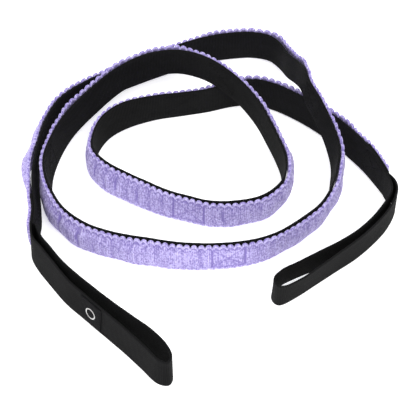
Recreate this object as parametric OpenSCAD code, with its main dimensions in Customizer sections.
// A stretching strap: one long webbing with an elastic band sewn along its outer
// face in a row of slack loops, and the webbing's two ends folded back into hand
// loops. It stands on its long edge on a table, wound into a loose spiral.

/* [Webbing] */
// Width of the webbing, which is its height as it stands on edge
webbing_width = 25; // [20:1:26]
// Thickness of the webbing
webbing_thickness = 1.6; // [1.2:0.1:2]

/* [Elastic] */
// Width of the elastic band over its looped edges
elastic_width = 23.5; // [18:0.5:24.5]
// Thickness of the elastic band
elastic_thickness = 2.4; // [1.6:0.1:2.6]
// How slack the loops are, as a share of the slack they have in this coil
loop_slack = 1; // [0.4:0.1:1.2]

/* [Sewn seams] */
// Distance from one seam to the next along the webbing
loop_pitch = 176; // [150:1:176]
// Distance from the left hand loop's neck to the first seam
first_seam = 4; // [2:1:8]
// Length of a box-and-cross seam along the strap
seam_length = 24; // [16:1:26]
// Width of a box-and-cross seam across the strap
seam_width = 17; // [10:1:18]
// Thickness of the sewing thread
thread_thickness = 0.8; // [0.5:0.1:1]

/* [Label] */
// Length of the sewn label along the strap
label_length = 20; // [12:1:26]
// Height of the sewn label across the strap
label_width = 22; // [14:1:24]
// Thickness of the sewn label
label_thickness = 0.5; // [0.3:0.1:0.8]
// Where the label starts on the hand loop's outer ply, from the neck
label_start = 74; // [40:1:80]

/* [Hidden] */
LOOP_COUNT = 8;
SEAM_COUNT = LOOP_COUNT + 1;
// Distance between two rings of a swept strap
RING_STEP = 6;
// Steps between two neighbouring route points
SPLINE_STEPS = 5;
// Half the gap in the webbing that lets a hand loop swing at its neck
NECK_GAP = 1;
// Clearance between layers that are sewn on each other
SKIN_GAP = 0.15;
// Clearance at each end of a free span of elastic
SPAN_GAP = 0.3;
// Length over which the elastic comes down off a folded-back end
TAIL_RUN_OUT = 30;
// How early a slack loop reaches its full height: more is earlier
LOOP_FULLNESS = 1.6;
// How far each loop stands off the webbing, early and late along it
LOOP_SLACK = [
    [4, 3], [3.5, 4.5], [2.8, 1.2], [1.2, 2.6], [3.2, 3.5], [4.5, 1.2], [1, 1], [3.5, 3.5]
];
// How far each seam lies from its even place, as it is sewn by hand
SEAM_SHIFT = [0, 22, 18, 15, 16, 16, 18, 23, 18];
// The most that any layer lies off the middle of a leaning strap
STRAP_SKIN = 7;
// Height of the elastic's lower edge above the webbing's
ELASTIC_LOW = 0.4;
// Depth that the thread sinks into what it sews
THREAD_SINK = 0.3;
// Distance from a sewn patch's end to the box that is sewn in it
SEAM_INSET = 0.8;
// The coil's box is centred on the origin
CENTRE = [1.6, 4.3];

// Every route point is [x, y, height of the lower edge, outward lean in degrees].
// The route is the middle of the webbing's thickness at its lower edge.
COIL = [
    [-121, -35, 0, 2], [-119, -20, 0, 6], [-120, -5, 0, 9], [-122, 12, 0, 8],
    [-123, 28, 0, 4], [-121, 46, 0, 3], [-117, 66, 0, 3], [-108, 86, 0, 3],
    [-92, 101, 0, 3], [-74, 112, 0, 4], [-54, 123, 0, 5], [-34, 133, 0, 6],
    [-14, 142, 0, 7], [4, 148, 0, 8], [20, 151, 0, 8], [34, 152, 0, 7],
    [47, 147, 2, 5], [55, 136, 5, 2], [61, 120, 11, 0], [67, 106, 18, 0],
    [70, 91, 26, 1], [73, 75, 27, 3], [79, 60, 25, 5], [86, 47, 14, 8],
    [90, 34, 4, 11], [89, 20, 0, 10], [86, 5, 0, 9], [77, -13, 0, 10],
    [63, -27, 0, 10], [46, -41, 0, 7], [28, -50, 0, 0], [4, -54, 0, -3],
    [-20, -53, 0, -3], [-42, -49, 0, -3], [-64, -43, 0, 0], [-84, -35, 0, 0],
    [-100, -22, 0, 0], [-109, -8, 0, 0], [-113, 10, 0, 7], [-113, 28, 0, 12],
    [-108, 50, 0, 11], [-99, 70, 1, 10], [-84, 89, 4, 9], [-66, 103, 12, 6],
    [-46, 110, 20, 3], [-26, 111, 25, 0], [-8, 105, 27, 0], [8, 94, 27, 1],
    [24, 82, 20, 3], [36, 69, 12, 4], [44, 55, 6, 4], [50, 42, 2, 4],
    [54, 28, 0, 4], [53, 13, 0, 6], [47, 2, 0, 8], [35, -8, 0, 7],
    [18, -14, 0, 1], [1, -15, 0, -2], [-14, -11, 0, -3], [-30, -6, 0, -5],
    [-46, 2, 0, -7], [-62, 11, 0, -8], [-76, 22, 0, -6], [-84, 36, 0, -2],
    [-82, 51, 0, 3], [-74, 66, 0, 8], [-60, 77, 0, 10], [-40, 86, 0, 4],
    [-18, 91, 0, 1], [0, 95, 0, 0], [18, 100, 0, 3], [34, 101, 0, 8],
    [49, 96, 0, 9], [64, 87, 0, 8], [78, 76, 0, 8], [92, 62, 0, 10],
    [104, 47, 0, 11], [114, 34, 0, 8], [122, 21, 0, 4], [127, 12, 0, 1]
];
// The hand loops start at their necks and come back to them
LEFT_LOOP = [
    [-121, -36, 0, 0], [-117, -47, 0, 4], [-111, -57, 0, 6], [-103, -69, 0, 7],
    [-93, -80, 0, 7], [-81, -91, 0, 6], [-67, -104, 0, 6], [-53, -116, 0, 6],
    [-40, -127, 0, 6], [-30, -137, 0, 4], [-24, -146, 0, 0], [-26, -153, 0, -3],
    [-34, -151, 0, -5], [-44, -140, 0, -6], [-56, -127, 0, -6], [-70, -113, 0, -6],
    [-84, -99, 0, -6], [-97, -86, 0, -7], [-109, -70, 0, -8], [-118, -57, 0, -8],
    [-123, -46, 0, -4], [-123, -36, 0, 0]
];
RIGHT_LOOP = [
    [128, 10, 0, 1], [130, 2, 0, 1], [129, -6, 0, 1], [123, -17, 0, 1],
    [114, -29, 0, 2], [103, -40, 0, 3], [90, -49, 0, 5], [75, -57, 0, 8],
    [60, -65, 0, 11], [49, -72, 0, 10], [44, -81, 0, 4], [49, -87, 0, -6],
    [61, -80, 0, -9], [75, -69, 0, -8], [89, -58, 0, -6], [103, -47, 0, -4],
    [115, -35, 0, -3], [126, -21, 0, -2], [133, -6, 0, -1], [133, 4, 0, -1],
    [130, 12, 0, 1]
];

// A smooth curve through the points, as a denser list of the same kind of point
function bend(a, b, c, d, t) =
    0.5*(2*b + (c - a)*t + (2*a - 5*b + 4*c - d)*t*t + (3*b - a - 3*c + d)*t*t*t);
function clamped(list, i) = list[max(0, min(len(list) - 1, i))];
function smooth(list) = concat(
    [for (i = [0 : len(list) - 2], k = [0 : SPLINE_STEPS - 1])
        bend(clamped(list, i - 1), list[i], list[i + 1], clamped(list, i + 2), k/SPLINE_STEPS)],
    [list[len(list) - 1]]
);

// Distance travelled at each point of a curve
function first3(p) = [p[0], p[1], p[2]];
function travelled(curve) =
    [for (i = 0, s = 0; i < len(curve);
        s = s + norm(first3(clamped(curve, i + 1)) - first3(curve[i])), i = i + 1) s];

// A ruler holds one [distance, value] table for each of x, y, height and lean
function ruler(curve) =
    let (s = travelled(curve))
    [for (k = [0 : 3]) [for (i = [0 : len(curve) - 1]) [s[i], curve[i][k]]]];
function end_of(r) = r[0][len(r[0]) - 1][0];
function place(r, s) = [for (k = [0 : 3]) lookup(s, r[k])];

COIL_RULER = ruler(smooth(COIL));
LEFT_RULER = ruler(smooth(LEFT_LOOP));
RIGHT_RULER = ruler(smooth(RIGHT_LOOP));
coil_length = end_of(COIL_RULER);

// Layers, counted outward from the webbing's middle
web_skin = webbing_thickness/2;
tail_skin = web_skin + webbing_thickness;

// A point of the strap: s along it, w across it from the lower edge, and out
// away from the webbing's middle, to the left of the way that s runs.
// A strap that leans is lifted until its lowest corner is at the route's height.
function outward(r, s) =
    let (a = place(r, s - 2), b = place(r, s + 2), d = [b[0] - a[0], b[1] - a[1]])
    [-d[1], d[0]]/norm(d);
function lean_lift(lean) = lean > 0 ? STRAP_SKIN*sin(lean) : -web_skin*sin(lean);
function strap_point(r, s, w, out) =
    let (p = place(r, s), n = outward(r, s), side = w*sin(p[3]) + out*cos(p[3]))
    [
        p[0] + n[0]*side - CENTRE[0],
        p[1] + n[1]*side - CENTRE[1],
        p[2] + w*cos(p[3]) - out*sin(p[3]) + lean_lift(p[3])
    ];

// The four corners of a strap's section
function section(r, s, low, high, inner, outer) = [
    strap_point(r, s, low, inner), strap_point(r, s, high, inner),
    strap_point(r, s, high, outer), strap_point(r, s, low, outer)
];

// A closed solid through a row of four-cornered rings. Opposite sides are split
// along the same diagonal, so that layers on each other stay clear all over.
function side_faces(i, k) =
    let (a = i*4 + k, b = i*4 + (k + 1)%4)
    k < 2 ? [[a, b, b + 4], [a, b + 4, a + 4]] : [[a, b, a + 4], [b, b + 4, a + 4]];
module loft(rings) {
    last = (len(rings) - 1)*4;
    sides = [for (i = [0 : len(rings) - 2], k = [0 : 3]) each side_faces(i, k)];
    ends = [[3, 2, 1], [3, 1, 0], [last, last + 1, last + 2], [last, last + 2, last + 3]];
    polyhedron([for (ring = rings) each ring], concat(sides, ends));
}

// Even stations between two distances, about one ring step apart
function stations(from, to) =
    let (count = max(2, ceil((to - from)/RING_STEP)))
    [for (i = [0 : count]) from + (to - from)*i/count];

function seam_start(i) = first_seam + i*loop_pitch + SEAM_SHIFT[i];
function seam_end(i) = seam_start(i) + seam_length;

// The folded-back ends lie under the elastic in the first and the last seam
function over_tail(s) =
    let (past = max(0, min(s - seam_end(0), seam_start(LOOP_COUNT) - s)))
    1 - min(1, past/TAIL_RUN_OUT);
// Slack of a loop: none at its seams, most over its middle part
function slack_at(s) =
    let (
        i = len([for (k = [1 : LOOP_COUNT - 1]) if (s > seam_start(k)) k]),
        u = max(0, min(1, (s - seam_end(i))/(seam_start(i + 1) - seam_end(i)))),
        height = LOOP_SLACK[i][0]*(1 - u) + LOOP_SLACK[i][1]*u
    )
    loop_slack*height*min(1, sin(180*u)*LOOP_FULLNESS);
function elastic_inner(s) =
    web_skin + SKIN_GAP + max(over_tail(s)*webbing_thickness, slack_at(s));

// The stations of a loop's free span and of a seam
function span_stations(i) = stations(seam_end(i) + SPAN_GAP, seam_start(i + 1) - SPAN_GAP);
function seam_stations(i) = stations(i == 0 ? 0 : seam_start(i), seam_end(i));

// The webbing is double where its ends are folded back, in the first and last seam.
// It has its rings where the elastic has them.
module webbing() {
    single = [for (i = [0 : LOOP_COUNT - 1])
        each concat(i == 0 ? [] : seam_stations(i), span_stations(i))];
    rings = concat(
        [for (s = seam_stations(0)) [s, tail_skin]],
        [for (s = single) [s, web_skin]],
        [for (s = seam_stations(LOOP_COUNT)) [s, tail_skin]],
        [[coil_length, tail_skin]]
    );
    color("#1d1d20")
        loft([for (ring = rings)
            section(COIL_RULER, ring[0], 0, webbing_width, -web_skin, ring[1])]);
}

module hand_loop(r) {
    color("#1d1d20")
        loft([for (s = stations(NECK_GAP, end_of(r) - NECK_GAP))
            section(r, s, 0, webbing_width, -web_skin, web_skin)]);
}

// A stretch of the elastic through its stations along the strap
module elastic(along) {
    loft([for (s = along)
        section(COIL_RULER, s, ELASTIC_LOW, ELASTIC_LOW + elastic_width,
            elastic_inner(s), elastic_inner(s) + elastic_thickness)]);
}
module elastic_loop(i) {
    color("#b0a0e0") elastic(span_stations(i));
}
module elastic_seam(i) {
    color("#a394d6") elastic(seam_stations(i));
}

// One straight run of thread on the strap, from [s, w] to [s, w]
module thread_run(r, from, to, face) {
    d = (to - from)/norm(to - from);
    half = thread_thickness/2*[-d[1], d[0]];
    low = face - THREAD_SINK;
    high = face + thread_thickness/2;
    loft([for (k = [0 : 3])
        let (p = from + (to - from)*k/3, a = p - half, b = p + half)
        [strap_point(r, b[0], b[1], low), strap_point(r, a[0], a[1], low),
            strap_point(r, a[0], a[1], high), strap_point(r, b[0], b[1], high)]]);
}

// A box with a cross in it. Its runs stop short of each other by a thread.
module box_stitch(i) {
    face = elastic_inner(seam_start(i) + seam_length/2) + elastic_thickness;
    middle = [seam_start(i) + seam_length/2, webbing_width/2];
    half = [seam_length/2 - SEAM_INSET, seam_width/2];
    corners = [for (k = [[-1, -1], [1, -1], [1, 1], [-1, 1]]) middle + [k[0]*half[0], k[1]*half[1]]];
    color("#8f82c4")
        for (k = [0 : 3]) {
            corner = corners[k];
            side = corners[(k + 1)%4] - corner;
            cut = thread_thickness*side/norm(side);
            thread_run(COIL_RULER, corner + cut, corner + side - cut, face);
            arm = (middle - corner)/norm(middle - corner)*thread_thickness;
            thread_run(COIL_RULER, corner + 2*arm, middle - 1.5*arm, face);
        }
}

// The label lies on the outer ply of the left hand loop
label_from = end_of(LEFT_RULER) - label_start - label_length;
label_low = (webbing_width - label_width)/2;
label_face = web_skin + SKIN_GAP + label_thickness;

module label_patch() {
    color("#101012")
        loft([for (s = stations(label_from, label_from + label_length))
            section(LEFT_RULER, s, label_low, label_low + label_width,
                web_skin + SKIN_GAP, label_face)]);
}

// The label is sewn down along its two short ends
module label_stitch() {
    inset = 1.5;
    color("#2c2c30")
        for (s = [label_from + inset, label_from + label_length - inset])
            thread_run(LEFT_RULER, [s, label_low + inset],
                [s, label_low + label_width - inset], label_face);
}

function numbered(name, count) = [for (i = [1 : count]) str(name, "_", i)];

webbing();
hand_loop(LEFT_RULER);  // hand_loop_left
hand_loop(RIGHT_RULER);  // hand_loop_right
label_patch();
label_stitch();
for (i = [1 : LOOP_COUNT])
    elastic_loop(i - 1);
for (i = [1 : SEAM_COUNT])
    elastic_seam(i - 1);
for (i = [1 : SEAM_COUNT])
    box_stitch(i - 1);
